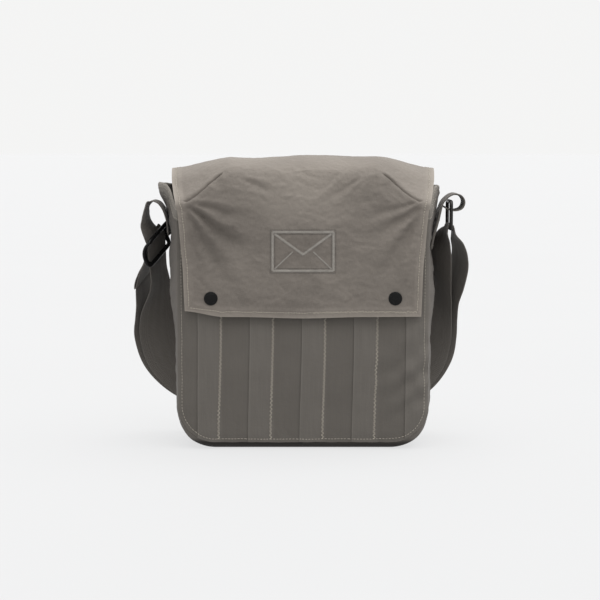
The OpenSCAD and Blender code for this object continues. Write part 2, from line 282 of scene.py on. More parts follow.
def clouds(points, size, seed=0):
    """Smooth noise from -1 to 1 at points. Its features are about size wide, a number or three."""
    flat = (np.asarray(points, float) / np.asarray(size, float)).reshape(-1, 3) + seed * 7.31
    return np.array([noise.noise(Vector(p)) for p in flat]).reshape(np.shape(points)[:-1])


def creases(points, size, seed=0):
    """Sharp crests from 0 to 1 that wander like creases in thin cloth."""
    wander = np.stack([clouds(points, size, seed + k) for k in (3, 4, 5)], axis=-1)
    crest = 1 - np.abs(clouds(np.asarray(points) + wander * np.asarray(size) * 0.45, size, seed)) * 2.2
    return np.clip(crest, 0, 1) ** 2


def select_only(piece):
    bpy.ops.object.select_all(action="DESELECT")
    piece.select_set(True)
    bpy.context.view_layer.objects.active = piece


def edit(piece, step):
    """Runs an edit mode step on all of a piece's faces."""
    select_only(piece)
    bpy.ops.object.mode_set(mode="EDIT")
    bpy.ops.mesh.select_all(action="SELECT")
    step()
    bpy.ops.object.mode_set(mode="OBJECT")


def merge():
    bpy.ops.mesh.remove_doubles(threshold=0.00001)


def face_out():
    bpy.ops.mesh.normals_make_consistent(inside=False)


def join(first, other):
    """Makes one piece of two, under the first one's name."""
    select_only(first)
    other.select_set(True)
    bpy.ops.object.join()


def apply_all(piece):
    select_only(piece)
    for modifier in list(piece.modifiers):
        bpy.ops.object.modifier_apply(modifier=modifier.name)


def unit(ways):
    """Directions, each brought to a length of one."""
    return ways / np.maximum(np.linalg.norm(ways, axis=-1, keepdims=True), 1e-9)


def facing(points):
    """The way that a grid of points faces, at each of them."""
    return unit(np.cross(np.gradient(points, axis=1), np.gradient(points, axis=0)))


def surface(place_of, across, along, lift_of=None):
    """Points (mm) of a sheet on a grid of shares, with what lift_of says added along the normal."""
    u, v = np.meshgrid(np.linspace(0, 1, across + 1), np.linspace(0, 1, along + 1))
    points = place_of(u, v)
    if lift_of is not None:
        points = points + facing(points) * lift_of(points, u, v)[..., None]
    return points, u, v


def length_of(points, axis):
    """Mean length (mm) of a grid's lines along an axis."""
    return np.linalg.norm(np.diff(points, axis=axis), axis=-1).sum(axis=axis).mean()


def mark(piece, name, values):
    """Keeps a value at each point of a piece, for its material to read."""
    kept = piece.data.attributes.new(name, "FLOAT", "POINT")
    kept.data.foreach_set("value", np.asarray(values, float).ravel())


def points_of(piece):
    return np.array([vertex.co for vertex in piece.data.vertices]) / MM


def sheet(name, material, place_of, across, along, lift_of=None, thickness=0.0, wear_and_light_of=None, closed=False):
    """A piece of cloth: a grid whose points place_of sets in mm, thickened inwards."""
    bpy.ops.object.select_all(action="DESELECT")
    bpy.ops.mesh.primitive_grid_add(x_subdivisions=across, y_subdivisions=along, size=1)
    piece = bpy.context.object
    piece.name = piece.data.name = name
    points, u, v = surface(place_of, across, along, lift_of)
    piece.data.vertices.foreach_set("co", (points * MM).ravel())
    size = (length_of(points, 1) * MM, length_of(points, 0) * MM)
    uv = piece.data.uv_layers.active.data
    shares = np.zeros(len(uv) * 2)
    uv.foreach_get("uv", shares)
    uv.foreach_set("uv", (shares.reshape(-1, 2) * size).ravel())
    # Wear, and on some pieces painted light, kept for the material to read.
    if wear_and_light_of is not None:
        mark(piece, "wear", wear_and_light_of(points, u, v))
    piece.data.update()
    if thickness:
        wall = piece.modifiers.new("wall", "SOLIDIFY")
        wall.thickness = thickness * MM
        wall.offset = -1
        apply_all(piece)
    if closed:
        edit(piece, merge)
    select_only(piece)
    bpy.ops.object.shade_smooth_by_angle(angle=math.radians(50))
    piece.data.materials.append(material)
    return piece


def cloth_material(name, base, worn_and_lit, crumple, rough, weave=0.0007):
    """Dyed cloth: cloudy dye, fine slubs, paler where worn and where highlights are painted, darker where
    shade is painted and in darker patches.
    """
    material, start = new_material(name)
    place = start.place()
    on_cloth = start.place("UV")
    wear = start.marked("wear")
    soil = start.marked("soil")
    dye = start.cloudy(place, 16, 4) * 0.6 + start.cloudy(place, 90, 3) * 0.4
    slubs = start.streaky(on_cloth, (2600, 240, 1))
    picks = start.streaky(on_cloth, (240, 2600, 1))
    ends = start.bands("X", on_cloth, weave)
    fills = start.bands("Y", on_cloth, weave)
    toned = start.mix(start.ramp(dye, 0.36, 0.64), shade(base, 0.86), shade(base, 1.14))
    thread = (slubs + picks) * 0.5 - 0.5
    speckled = start.mix(thread * 1.6 + 0.25, toned, shade(worn_and_lit, 1.25))
    speckled = start.mix(0.35, toned, speckled)
    soft = start.bump(start.cloudy(place, 260, 5), crumple, 0.0012)
    woven = start.bump(ends * fills + (slubs + picks) * 0.5, 0.35, 0.00012, soft)
    # Paler with wear, and where highlights are painted.
    lightened = start.mix(wear, speckled, colour(*worn_and_lit))
    finish_material(start, {
        # Darker where shade is painted, and in darker patches.
        "Base Color": start.mix(soil, lightened, shade(base, 0.16)),
        "Roughness": rough + (slubs - 0.5) * 0.12,
        "Specular IOR Level": 0.2,
        "Sheen Weight": 0.05,
        "Sheen Roughness": 0.5,
        "Normal": woven,
    })
    return material


body_nylon = cloth_material("body_nylon", (0.112, 0.101, 0.090), (0.175, 0.158, 0.140), 0.5, 0.74)


def inside_seam(x, z):
    """How far a point of a panel lies inside its seam."""
    side = seam_half - np.abs(x)
    low = z - seam_low
    corner = seam_round - np.hypot(np.maximum(seam_round - side, 0), np.maximum(seam_round - low, 0))
    return np.where((side < seam_round) & (low < seam_round), corner, np.minimum(side, low))


def from_seam(points):
    return inside_seam(points[..., 0], points[..., 2])


def half_width(z):
    """Half the width of a panel at a height."""
    reach = np.clip(seam_low + seam_round - z, 0, seam_round)
    return seam_half - seam_round + np.sqrt(seam_round**2 - reach**2)


def front_mouth(x):
    return mouth_top - mouth_drop * ease(70, seam_half, np.abs(x))


def fullness(x, z):
    """How full a panel is, from 0 at its seam to 1 at 15 mm inside it."""
    return 1 - (1 - np.clip(inside_seam(x, z) / 15, 0, 1)) ** 2


def front_y(x, z):
    """Depth of the front cloth: drawn back at the seams, slack and full low down, flat under the flap."""
    belly = 5.0 * np.exp(-(((z - 84) / 50) ** 2)) * (1 - 0.8 * (x / seam_half) ** 2)
    slump = 0.8 * clouds(np.stack([x, x * 0, z], -1), (60, 1, 75), 2) * ease(140, 90, z)
    return seam_front - fullness(x, z) * (1.3 + belly + slump)


def back_y(x, z):
    belly = 5.5 * np.exp(-(((z - 95) / 60) ** 2)) * (1 - 0.8 * (x / seam_half) ** 2)
    return seam_back + fullness(x, z) * (1.2 + belly)


def panel_rows(v, top):
    """Heights up a panel, close together at the round corners."""
    return seam_low + (top - seam_low) * v**1.5


def front_place(u, v):
    z = panel_rows(v, mouth_top)
    x = (2 * u - 1) * half_width(z)
    z = seam_low + (z - seam_low) * (front_mouth(x) - seam_low) / (mouth_top - seam_low)
    return np.stack([x, front_y(x, z), z], -1)


def back_place(u, v):
    z = panel_rows(v, mouth_back)
    x = (1 - 2 * u) * half_width(z)
    return np.stack([x, back_y(x, z), z], -1)


def back_lift(points, u, v):
    inside = from_seam(points)
    tight = clouds(points, (11, 30, 11), 6) * 0.7 * (1 - ease(0, 22, inside))
    broad = clouds(points, 55, 9) * 0.9 + creases(points, (40, 40, 26), 12) * 0.5
    return tight + broad * ease(0, 12, inside)


def pucker(points):
    """Slack in the lower right of the front, drawn up in slanting folds towards the side seam."""
    x, z = points[..., 0], points[..., 2]
    where = np.exp(-(((x - 104) / 26) ** 2) - ((z - 74) / 36) ** 2)
    slant = np.sin((z - 0.75 * (x - 80)) / 4.6 + 1.6 * clouds(points, (20, 20, 30), 31))
    return where * (1.5 * slant + 1.8 * clouds(points, (13, 13, 16), 32))


def front_relief(points):
    """Small rises of the sewn front, the same for the panel and every tape on it."""
    flat = points * (1, 0, 1)
    seam = (1 - ease(0, 16, from_seam(points))) * clouds(flat, (9, 9, 9), 33) * 0.6
    rows = clouds(flat, (34, 9, 16), 34) * 0.55
    ripple = clouds(flat, (7, 9, 30), 35) * 0.22
    return seam + rows + ripple + pucker(flat)


def front_lift(points, u, v):
    return front_relief(points)


def seam_wear(points, u, v):
    return 0.3 * (1 - ease(0, 7, from_seam(points)))


for name, node, place_of, lift_of in (
    ("front_panel_cloth", "front_panel", front_place, front_lift),
    ("back_panel_cloth", "back_panel", back_place, back_lift),
):
    panel = sheet(name, body_nylon, place_of, 190, 180, lift_of, cloth_thick, seam_wear)
    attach(panel, "bag")
    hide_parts(node)
back_cloth = bpy.data.objects["back_panel_cloth"]


# ---- Gusset ----------------------------------------------------------------------------------------
# One long strip of the same nylon up one side, under the base and up the other side. It bellies out
# between its two seams, stands on the ground, and is folded out to a peak at each end of the mouth.

# How far the sides stand out past the seams at heights up to the peaks.
gusset_heights = [6, 54, 110, 136, 175, 192, 206, 226, 240, 252]
gusset_left = [3, 3, 3.6, 7.4, 7.8, 8, 8.5, 11, 15.5, 20]
gusset_right = [3, 3, 3.4, 6.6, 5.6, 2.2, 4, 8, 10.5, 12]
gusset_top = mouth_top + 2
depth_middle = (seam_front + seam_back) / 2
depth_half = (seam_back - seam_front) / 2


def mouth_height(x, depth):
    """Height of the mouth round the gusset, by share of the depth from front (-1) to back (1)."""
    left_rise = np.where(x < 0, 3, 0) * (1 - np.abs(depth))
    return mouth_back + left_rise - (mouth_drop + 2) * ease(-0.45, -1, depth)


def gusset_out(x, z, depth):
    """How far the gusset stands out past the seam line."""
    side = np.where(x < 0, over(gusset_heights, gusset_left, z), over(gusset_heights, gusset_right, z))
    sharp = ease(205, 250, z)
    round_part = (1 - np.abs(depth) ** 2.4) ** 0.8
    peaked = 1 - np.abs(depth) ** 1.15
    flat_part = 1 - np.abs(depth) ** 16
    low = ease(seam_low + 26, seam_low + 4, z)
    upright = side * (round_part * (1 - sharp) + peaked * sharp)
    return upright * (1 - low) + (seam_low - 0.3) * flat_part * low


def gusset_place(u, v):
    """u runs from the right end of the mouth, under the base, to the left end; v from front to back."""
    rise = gusset_top - seam_low - seam_round
    turn = math.pi / 2 * seam_round
    flat = 2 * (seam_half - seam_round)
    run = u * (2 * rise + 2 * turn + flat)
    angle = np.clip(run - rise, 0, turn) / seam_round
    back_angle = np.clip(run - rise - turn - flat, 0, turn) / seam_round
    over_base = np.clip(run - rise - turn, 0, flat)
    x = seam_half - seam_round + seam_round * np.cos(angle) - over_base - seam_round * np.sin(back_angle)
    z = seam_low + seam_round - seam_round * np.sin(angle) + seam_round * (1 - np.cos(back_angle))
    z = z + np.clip(rise - run, 0, rise) + np.clip(run - rise - 2 * turn - flat, 0, rise)
    out_x = np.cos(angle) - np.where(back_angle > 0, np.sin(back_angle), 0)
    out_z = -np.sin(angle) + np.where(back_angle > 0, 1 - np.cos(back_angle), 0)
    depth = 2 * v - 1
    z = z + (mouth_height(x, depth) - gusset_top) * ease(150, gusset_top, z)
    out = gusset_out(x, z, depth)
    return np.stack([x + out * out_x, depth_middle + depth * depth_half, z + out * out_z], -1)


def gusset_lift(points, u, v):
    free = (1 - np.abs(2 * v - 1) ** 4) * ease(2, 30, points[..., 2])
    pulls = clouds(points, (60, 60, 13), 21) * 1.2 * ease(90, 190, points[..., 2])
    return free * (clouds(points, (30, 24, 34), 22) * 1.6 + creases(points, (24, 20, 16), 23) * 1.1 + pulls)


def gusset_wear(points, u, v):
    return 0.25 * np.abs(2 * v - 1) ** 14


gusset = sheet("gusset_cloth", body_nylon, gusset_place, 460, 60, gusset_lift, cloth_thick, gusset_wear)
gusset_x, _, gusset_z = points_of(gusset).T
# Painted shade: the left side is darker, as it hangs in shade, and so is the underside, which the light
# hardly reaches.
mark(gusset, "soil", np.where(gusset_x < 0, 0.22, 0.08) + 0.92 * ease(11, 5, gusset_z))
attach(gusset, "bag")
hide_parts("gusset")


# ---- Front tapes -----------------------------------------------------------------------------------
# Six strips of woven tape down the front, each lapped over the next one to its left and left open at
# that edge. A zigzag row holds the end of each lap, so every tape shows a paler double band beside it.

tape_thick = 0.8
zigzag_in = 22.4                   # from a tape's open edge to its zigzag row
tape_drift = 2.6                   # how far the tapes lean to the left by the bottom seam
tape_boxes = [box_mm(f"front_tape_{i}") for i in range(1, 7)]
tape_top = tape_boxes[0][1].z


def tape_material(name):
    """Ribbed tape, paler on the double band that the band attribute marks."""
    material, start = new_material(name)
    place = start.place()
    on_cloth = start.place("UV")
    band = start.marked("band")
    wear = start.marked("wear")
    dye = start.cloudy(place, 30, 4)
    ribs = start.bands("X", on_cloth, 0.0009)
    picks = start.bands("Y", on_cloth, 0.0006)
    streaks = start.streaky(on_cloth, (900, 25, 1), 1, 3)
    single = start.mix(dye, colour(0.092, 0.083, 0.073), colour(0.116, 0.105, 0.093))
    double = start.mix(dye, colour(0.110, 0.100, 0.089), colour(0.134, 0.122, 0.109))
    toned = start.mix(band, single, double)
    streaked = start.mix(streaks * 0.5, toned, colour(0.075, 0.069, 0.061))
    soft = start.bump(start.cloudy(place, 240, 4), 0.35, 0.001)
    finish_material(start, {
        "Base Color": start.mix(wear, streaked, colour(0.205, 0.190, 0.170)),
        "Roughness": 0.78 + (dye - 0.5) * 0.1,
        "Specular IOR Level": 0.2,
        "Sheen Weight": 0.05,
        "Normal": start.bump(ribs * 0.7 + picks * 0.3, 0.5, 0.0002, soft),
    })
    return material


def tape_outer(x, z, left, first):
    """Depth of a tape's outer face: up on the next tape along its lap, pressed down at its zigzag row."""
    lap = 0 if first else 1 - ease(left + zigzag_in + 1.2, left + zigzag_in + 3.6, x)
    row = 0 if first else np.exp(-(((x - left - zigzag_in) / 2.6) ** 2))
    puff = 0 if first else 0.35 * np.sin(np.clip((x - left) / zigzag_in, 0, 1) * math.pi)
    return front_y(x, z) - tape_thick * (1 + lap) + 0.45 * row - puff


woven_tape = tape_material("woven_tape")
tape_lefts = []
for i, (low, high) in enumerate(tape_boxes):
    first = i == 0
    left = -seam_half if first else low.x
    right = min(high.x, seam_half)
    tape_lefts.append(left)

    def tape_place(u, v):
        x = left + (right - left) * u
        x_low = np.abs(np.clip(np.abs(x) - seam_half + seam_round, 0, seam_round - 0.3))
        z_low = seam_low + 0.8 + seam_round - np.sqrt(seam_round**2 - x_low**2)
        z_high = np.minimum(tape_top, front_mouth(x) - 2)
        z = z_low + (z_high - z_low) * v
        y = tape_outer(x, z, left, first)
        lean = tape_drift * ease(120, 0, z) * (1 - (x / seam_half) ** 2)
        return np.stack([x - lean, y, z], -1)

    def tape_lift(points, u, v):
        curl = 0 if first else 0.15 * np.exp(-u * (right - left) / 1.5)
        return front_relief(points) + curl * (1 + clouds(points, (9, 9, 22), 36))

    def tape_wear(points, u, v):
        edge = 0 if first else 0.18 * np.exp(-u * (right - left) / 0.7)
        return np.clip(edge + 0.14 * (1 - ease(0, 6, from_seam(points))), 0, 1)

    tape = sheet(f"tape_{i + 1}", woven_tape, tape_place, 46, 170, tape_lift, tape_thick, tape_wear)
    across = points_of(tape)[:, 0] - left
    lapped = np.zeros(len(across)) if first else 1 - ease(zigzag_in - 1, zigzag_in + 1, across)
    mark(tape, "band", lapped)
    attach(tape, "bag")
    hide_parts(f"front_tape_{i + 1}")
    (right - left) * MM


# ---- Sewing thread ---------------------------------------------------------------------------------
# Pale polyester thread. A lock stitch shows as short plump beads in line, a zigzag as slanting legs.
# Every bead is a copy of one, laid on the cloth's own surface.

bpy.ops.object.select_all(action="DESELECT")
bpy.ops.mesh.primitive_uv_sphere_add(segments=6, ring_count=5, radius=0.5)
bead = bpy.context.object
bead_points = np.array([vertex.co for vertex in bead.data.vertices])
bead_faces = [list(face.vertices) for face in bead.data.polygons]
bpy.data.objects.remove(bead)
bead_cover = 0.74                  # share of its step that a lock stitch's bead covers
bead_high = 0.8                    # how high a bead is for its width
bead_rise = 0.28                   # how far its middle stands off the cloth, for its width


def thread_material(name, pale, deep):
    material, start = new_material(name)
    place = start.place()
    twist = start.cloudy(place, 900, 3)
    finish_material(start, {
        "Base Color": start.mix(twist, colour(*deep), colour(*pale)),
        "Roughness": 0.55 + twist * 0.2,
        "Sheen Weight": 0.15,
        "Normal": start.bump(twist, 0.4, 0.0002),
    })
    return material


pale_thread = thread_material("pale_thread", (0.430, 0.390, 0.325), (0.290, 0.260, 0.215))


def spaced(line, pitch):
    """Points along a line (mm) at even steps."""
    line = np.asarray(line, float)
    gone = np.concatenate([[0], np.cumsum(np.linalg.norm(np.diff(line, axis=0), axis=1))])
    count = max(2, int(round(gone[-1] / pitch)) + 1)
    steps = np.linspace(0, gone[-1], count)
    return np.stack([np.interp(steps, gone, line[:, k]) for k in range(3)], -1)


def sew(name, cloths, lines, pitch, thread, wide=0.0, material=pale_thread, toward=None):
    """Beads of thread along lines laid on cloths: on the nearest spot, or straight on in a direction.
    With wide, the row is a zigzag of that width."""
    depsgraph = bpy.context.evaluated_depsgraph_get()
    trees = [BVHTree.FromObject(cloth, depsgraph) for cloth in cloths]

    def laid(point):
        start = Vector(point) * MM
        if toward:
            found = [tree.ray_cast(start, Vector(toward)) for tree in trees]
        else:
            found = [tree.find_nearest(start) for tree in trees]
        spot, normal = min(found, key=lambda hit: hit[3])[:2]
        return np.array(spot) / MM, np.array(normal)

    points, faces = [], []
    for line in lines:
        marks = [laid(point) for point in spaced(line, pitch)]
        for k, ((spot, normal), (next_spot, _)) in enumerate(zip(marks, marks[1:])):
            run = next_spot - spot
            across = np.cross(normal, run / max(np.linalg.norm(run), 1e-6))
            side = wide / 2 if k % 2 else -wide / 2
            head, tail = spot - across * side, next_spot + across * side
            along = tail - head
            length = np.linalg.norm(along)
            if length < 1e-3:
                continue
            along /= length
            flat = np.cross(normal, along)
            flat /= max(np.linalg.norm(flat), 1e-6)
            up = np.cross(along, flat)
            middle = (head + tail) / 2 + up * thread * bead_rise
            reach = length * (1.0 if wide else bead_cover)
            placed = (bead_points[:, 2:3] * along * reach + bead_points[:, 0:1] * flat * thread
                      + bead_points[:, 1:2] * up * thread * bead_high + middle)
            base = len(points) * len(bead_points)
            points.append(placed)
            faces += [[base + corner for corner in face] for face in bead_faces]
    mesh = bpy.data.meshes.new(name)
    mesh.from_pydata(np.concatenate(points) * MM, [], faces)
    piece = bpy.data.objects.new(name, mesh)
    bpy.context.scene.collection.objects.link(piece)
    edit(piece, face_out)
    select_only(piece)
    bpy.ops.object.shade_smooth()
    piece.data.materials.append(material)
    return piece


off_cloth = 4                      # how far off the cloth the lines for its stitches are drawn
tapes = [bpy.data.objects[f"tape_{i}"] for i in range(1, 7)]
zigzag_rows = []
for left in tape_lefts[1:5]:
    heights = np.linspace(seam_low + 3, tape_top - 6, 60)
    x = left + zigzag_in - tape_drift * ease(120, 0, heights)
    zigzag_rows.append(np.stack([x, front_y(x, heights) - off_cloth, heights], -1))
zigzags = sew("tape_zigzags", tapes, zigzag_rows, 2.0, 0.72, 2.7)
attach(zigzags, "bag")


def seam_line(top, y_of, off):
    """A line round a panel, just inside its seam, from the left of the mouth to the right."""
    inset = 3.2
    radius = seam_round - inset
    turn = np.linspace(0, math.pi / 2, 14)
    half = seam_half - inset
    low = seam_low + inset
    left_x = -half + radius - radius * np.cos(turn)
    left_z = low + radius - radius * np.sin(turn)
    x = np.concatenate([[-half], left_x, -left_x[::-1], [half]])
    z = np.concatenate([[top], left_z, left_z[::-1], [top]])
    line = spaced(np.stack([x, x * 0, z], -1), 4)
    return np.stack([line[:, 0], y_of(line[:, 0], line[:, 2]) + off, line[:, 2]], -1)


for name, cloths, line in (
    ("front_seam_stitches", tapes, seam_line(228, front_y, -off_cloth)),
    ("back_seam_stitches", [back_cloth], seam_line(236, back_y, off_cloth)),
):
    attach(sew(name, cloths, [line], 3.1, 0.5), "bag")


# ---- Mouth hem -------------------------------------------------------------------------------------
# The raw edge of the mouth is bound with a folded strip of the same nylon, sewn down by two rows.

hem_deep = 13
hem_fold = 0.54                    # share of the strip's width that lies outside the mouth


def mouth_ring(u, drop):
    """Points of the body's outer surface all round the mouth, drop below its edge, and the way out of it."""
    turn = u * 4
    points = np.zeros(u.shape + (3,))
    outward = np.zeros(u.shape + (3,))
    share = turn - np.floor(turn)
    side = np.floor(turn) % 4
    x_front = (2 * share - 1) * seam_half
    z_front = front_mouth(x_front) - drop
    front = np.stack([x_front, front_y(x_front, z_front) - 1.6, z_front], -1)
    x_back = (1 - 2 * share) * seam_half
    z_back = mouth_back - drop
    back = np.stack([x_back, back_y(x_back, z_back), z_back + x_back * 0], -1)
    for number, value, way in ((0, front, (0, -1, 0)), (2, back, (0, 1, 0))):
        points[side == number] = value[side == number]
        outward[side == number] = way
    for number, sign, v in ((1, 1.0, share), (3, -1.0, 1 - share)):
        depth = 2 * v - 1
        signs = np.full(u.shape, sign)
        z = mouth_height(signs, depth) - drop
        x = sign * (seam_half + gusset_out(signs, z, depth))
        value = np.stack([x, depth_middle + depth * depth_half, z], -1)
        points[side == number] = value[side == number]
        slope = np.stack([signs, depth * 0.5, z * 0], -1)
        outward[side == number] = slope[side == number]
    return points, unit(outward)


def hem_place(u, v):
    """v runs from the outer edge of the strip, over the mouth, to its inner edge."""
    outer = np.clip((hem_fold - v) / hem_fold, 0, 1)
    inner = np.clip((v - hem_fold) / (1 - hem_fold), 0, 1)
    drop = (hem_deep - 1) * inner + hem_deep * outer
    points, outward = mouth_ring(u % 1.0, np.maximum(drop, 0.01))
    thick = -1.4 + 2.4 * ease(hem_fold + 0.06, hem_fold - 0.06, v)
    points[..., 2] += 0.9 * np.exp(-(((v - hem_fold) / 0.07) ** 2))
    return points + outward * thick[..., None]


def hem_lift(points, u, v):
    rows = np.exp(-(((v - 0.07) / 0.03) ** 2)) + np.exp(-(((v - 0.38) / 0.03) ** 2))
    return clouds(points, (8, 8, 14), 41) * 0.35 - 0.3 * rows


def hem_wear(points, u, v):
    return 0.5 * np.exp(-(((v - hem_fold) / 0.09) ** 2)) + 0.25 * np.exp(-((v / 0.03) ** 2))


hem_nylon = cloth_material("hem_nylon", (0.142, 0.130, 0.115), (0.265, 0.243, 0.215), 0.4, 0.72)
hem = sheet("mouth_hem", hem_nylon, hem_place, 480, 26, hem_lift, 0.6, hem_wear, closed=True)
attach(hem, "bag")
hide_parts("mouth_binding")

ring_share = np.linspace(0, 1, 261) % 1.0
hem_lines = []
for drop in (3.4, hem_deep - 1.6):
    ring_points, ring_out = mouth_ring(ring_share, np.full(ring_share.shape, drop))
    hem_lines.append(ring_points + ring_out * 3)
hem_stitches = sew("hem_stitches", [hem], hem_lines, 3.0, 0.5)
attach(hem_stitches, "bag")


# ---- Flap ------------------------------------------------------------------------------------------
# Crumpled nylon, doubled with a lining. It is sewn to the back, passes over the top and hangs in front.
# A slanting dart at each upper corner turns it down over the bag's ends. Its edges are hemmed.

# Depth and height of the sheet at stations from its root on the back to its lower edge,
# in the middle of the bag and near the flap's sides. The fold with the darts is station 7.
flap_middle = [(41.5, 228), (42.6, 246), (41.8, 261.5), (34, 273.5), (14, 281), (-12, 281.2), (-31, 276),
               (-40.5, 268.5), (-45, 257.5), (-47, 243), (-47.8, 215), (-47.2, 186), (-48.2, 153),
               (-49.2, 129.5)]
flap_side = [(41.5, 228), (42.6, 247), (41.5, 261), (36, 267.5), (20, 269.5), (2, 265), (-20, 254),
             (-42, 239.6), (-44.4, 230), (-45, 219.5), (-45.7, 201), (-46.2, 176), (-46.6, 150),
             (-46.6, 129.5)]
flap_half = [123, 124.5, 127.4, 128.6, 128.8, 128, 126, 122.2, 119.8, 118.6, 117, 114.8, 113.8, 113]
fold_at = 7
split_at = 4                       # station where the crown's cloth ends and the face's begins
dart_inner, dart_outer = 76, 111
crown_rows, face_rows, flap_columns = 44, 178, 220
flap_dense = 3.0                   # how much closer the rows are at the darts
flap_thick = 1.3
hem_wide = 8.5
badge_z = 192                      # height of the envelope's middle on the face


def flap_stations(low, high, rows):
    """Stations of rows that lie at even steps over the cloth, closer together at the fold."""
    fine = np.linspace(low, high, 600)
    path = (through(flap_middle, fine) + through(flap_side, fine)) / 2
    step = np.linalg.norm(np.diff(path, axis=0), axis=1)
    step = step * (1 + flap_dense * np.exp(-(((fine[1:] - fold_at) / 0.22) ** 2)))
    gone = np.concatenate([[0], np.cumsum(step)])
    return np.interp(np.linspace(0, gone[-1], rows + 1), gone, fine)


flap_rows = np.concatenate([
    flap_stations(0, split_at, crown_rows),
    flap_stations(split_at, len(flap_half) - 1, face_rows)[1:],
])


def station_of(v):
    return np.interp(v, np.linspace(0, 1, len(flap_rows)), flap_rows)


def flap_place(u, v):
    station = station_of(v)
    x = (1 - 2 * u) * through(flap_half, station)
    top = ease(7, 5.4, station)
    share = np.clip((np.abs(x) - 71) / (40 + 18 * top), 0, 1)
    sideways = (0.6 * share + 0.4 * share**2 * (3 - 2 * share))[..., None]
    depth_height = through(flap_middle, station) * (1 - sideways) + through(flap_side, station) * sideways
    y, z = depth_height[..., 0], depth_height[..., 1]
    # The lower edge rises at its left corner and sags in the middle.
    z = z + 5.5 * ease(-75, -114, x) * ease(150, 127, z)
    z = z - 1.4 * ease(60, 0, np.abs(x)) * ease(150, 127, z)
    ridge = ease(3, 0, np.abs(station - 5.0))
    z = z + ridge * (1.2 * np.sin(x / 17 + 1.3) + 0.8 * np.sin(x / 41)) * (1 - ease(60, 120, np.abs(x)))
    return np.stack([x, y, z], -1)


def from_edge(points, u, v):
    """Distance (mm) from the flap's side and lower edges."""
    station = station_of(v)
    side = through(flap_half, station) - np.abs(points[..., 0])
    low = np.where(station > 9, points[..., 2] - points[-1:, ..., 2], 200)
    return np.minimum(side, low), station


stud_low, stud_high = box_mm("stud_caps")
cap_radius = (stud_high.z - stud_low.z) / 2
cap_x = (stud_high.x - stud_low.x) / 2 - cap_radius
cap_z = (stud_high.z + stud_low.z) / 2


# Folds that run down the face from the outer ends of the darts and from the studs:
# where each starts (x, z), its slope in degrees, length, width and depth.
face_folds = [(-114, 237, -38, 78, 6.5, 3.4), (-116, 236, -60, 96, 7, 2.6), (-110, 238, -14, 66, 4.5, 1.7),
              (-112, 230, -78, 74, 4, 1.3), (-60, 262, -24, 44, 4, 1.1), (114, 238, -143, 66, 6, 2.5),
              (115, 236, -119, 92, 7.5, 3.0), (112, 239, -164, 60, 4.5, 1.5), (58, 262, -150, 46, 4, 1.2),
              (-78, 136, 205, 36, 3.6, 1.0), (-98, 138, 70, 30, 3, 0.8), (92, 152, 60, 34, 3.4, 0.9)]


def folded(points):
    """How deep the folds of the face draw in, with a soft rise beside each."""
    depth = np.zeros(points.shape[:-1])
    for x, z, slope, length, wide, deep in face_folds:
        slope = math.radians(slope)
        dx, dz = points[..., 0] - x, points[..., 2] - z
        along = dx * math.cos(slope) + dz * math.sin(slope)
        aside = dz * math.cos(slope) - dx * math.sin(slope)
        aside = aside + clouds(points, (26, 60, 26), int(length)) * 2.6
        half = wide * (0.3 + 0.9 * np.clip(along / length, 0, 1))
        strength = ease(0, 10, along) * ease(1.15 * length, 0.45 * length, along)
        valley = np.exp(-((aside / half) ** 2))
        rise = 0.55 * np.exp(-(((aside - 2 * half) / half) ** 2))
        depth += deep * strength * (valley - rise)
    return depth


def flap_lift(points, u, v):
    edge, station = from_edge(points, u, v)
    free = ease(1, 18, edge) * ease(1.6, 4.4, station)
    x, z = points[..., 0], points[..., 2]
    badge = 1 - 0.7 * np.exp(-((x / 40) ** 4) - ((z - badge_z) / 27) ** 4)
    studs = 1 - np.exp(-(((np.abs(x) - cap_x) ** 2 + (z - cap_z) ** 2) / 15.0**2))
    face = ease(5.0, 8.4, station)
    broad = clouds(points, (60, 70, 44), 51) * 1.7 + clouds(points, (24, 40, 20), 57) * 0.6
    crushed = creases(points, (30, 30, 22), 52) * 0.75 - creases(points, (18, 24, 14), 61) * 0.45
    small = creases(points, (12, 11, 7), 55) * 0.34 - creases(points, (7, 7, 5), 62) * 0.22
    fine = clouds(points, (4.6, 4.6, 3.0), 56) * 0.12
    loose = broad * (0.35 + 0.65 * face) + crushed * (0.35 + 0.65 * face) - 1.25 * folded(points) * face
    hem = 0.55 * ease(hem_wide + 0.7, hem_wide - 0.7, edge)
    row = -0.28 * np.exp(-(((edge - 4.6) / 0.8) ** 2))
    bites = 0.35 * clouds(points, (5, 20, 5), 63) * np.exp(-(((edge - 6) / 4) ** 2))
    along = (station - fold_at) * 11.0
    aside = np.abs(x)
    in_dart = ease(dart_inner - 1, dart_inner + 3, aside) * ease(dart_outer + 5, dart_outer - 1, aside)
    dart = (-1.9 * np.exp(-((along / 0.75) ** 2)) + 0.8 * np.exp(-(((along + 2.4) / 2.0) ** 2))) * in_dart
    crumpled = free * studs * badge * loose + free * (small + fine) * (0.4 + 0.6 * face)
    return crumpled + hem + row + bites + dart


def flap_wear_and_highlights(points, u, v):
    edge, station = from_edge(points, u, v)
    x, z = points[..., 0], points[..., 2]
    rim = 0.35 * np.exp(-edge / 1.6) + 0.24 * ease(hem_wide + 3, 2, edge)
    # Painted highlights: the crown, which faces the light overhead, and the upper middle of the face, which
    # curves up towards it, are paler.
    crest = 0.62 * np.exp(-((x / 46) ** 2)) * ease(196, 250, z) * ease(6, 7.5, station)
    lightened = 0.36 * ease(7.6, 6.2, station) + crest
    # Tone that differs at random, and a face that grows paler towards its right.
    toned = 0.16 * clouds(points, (46, 30, 30), 64) + 0.13 * ease(-20, 100, x) * ease(6.5, 8, station)
    return np.clip(rim + lightened + toned + 0.04, 0, 1)


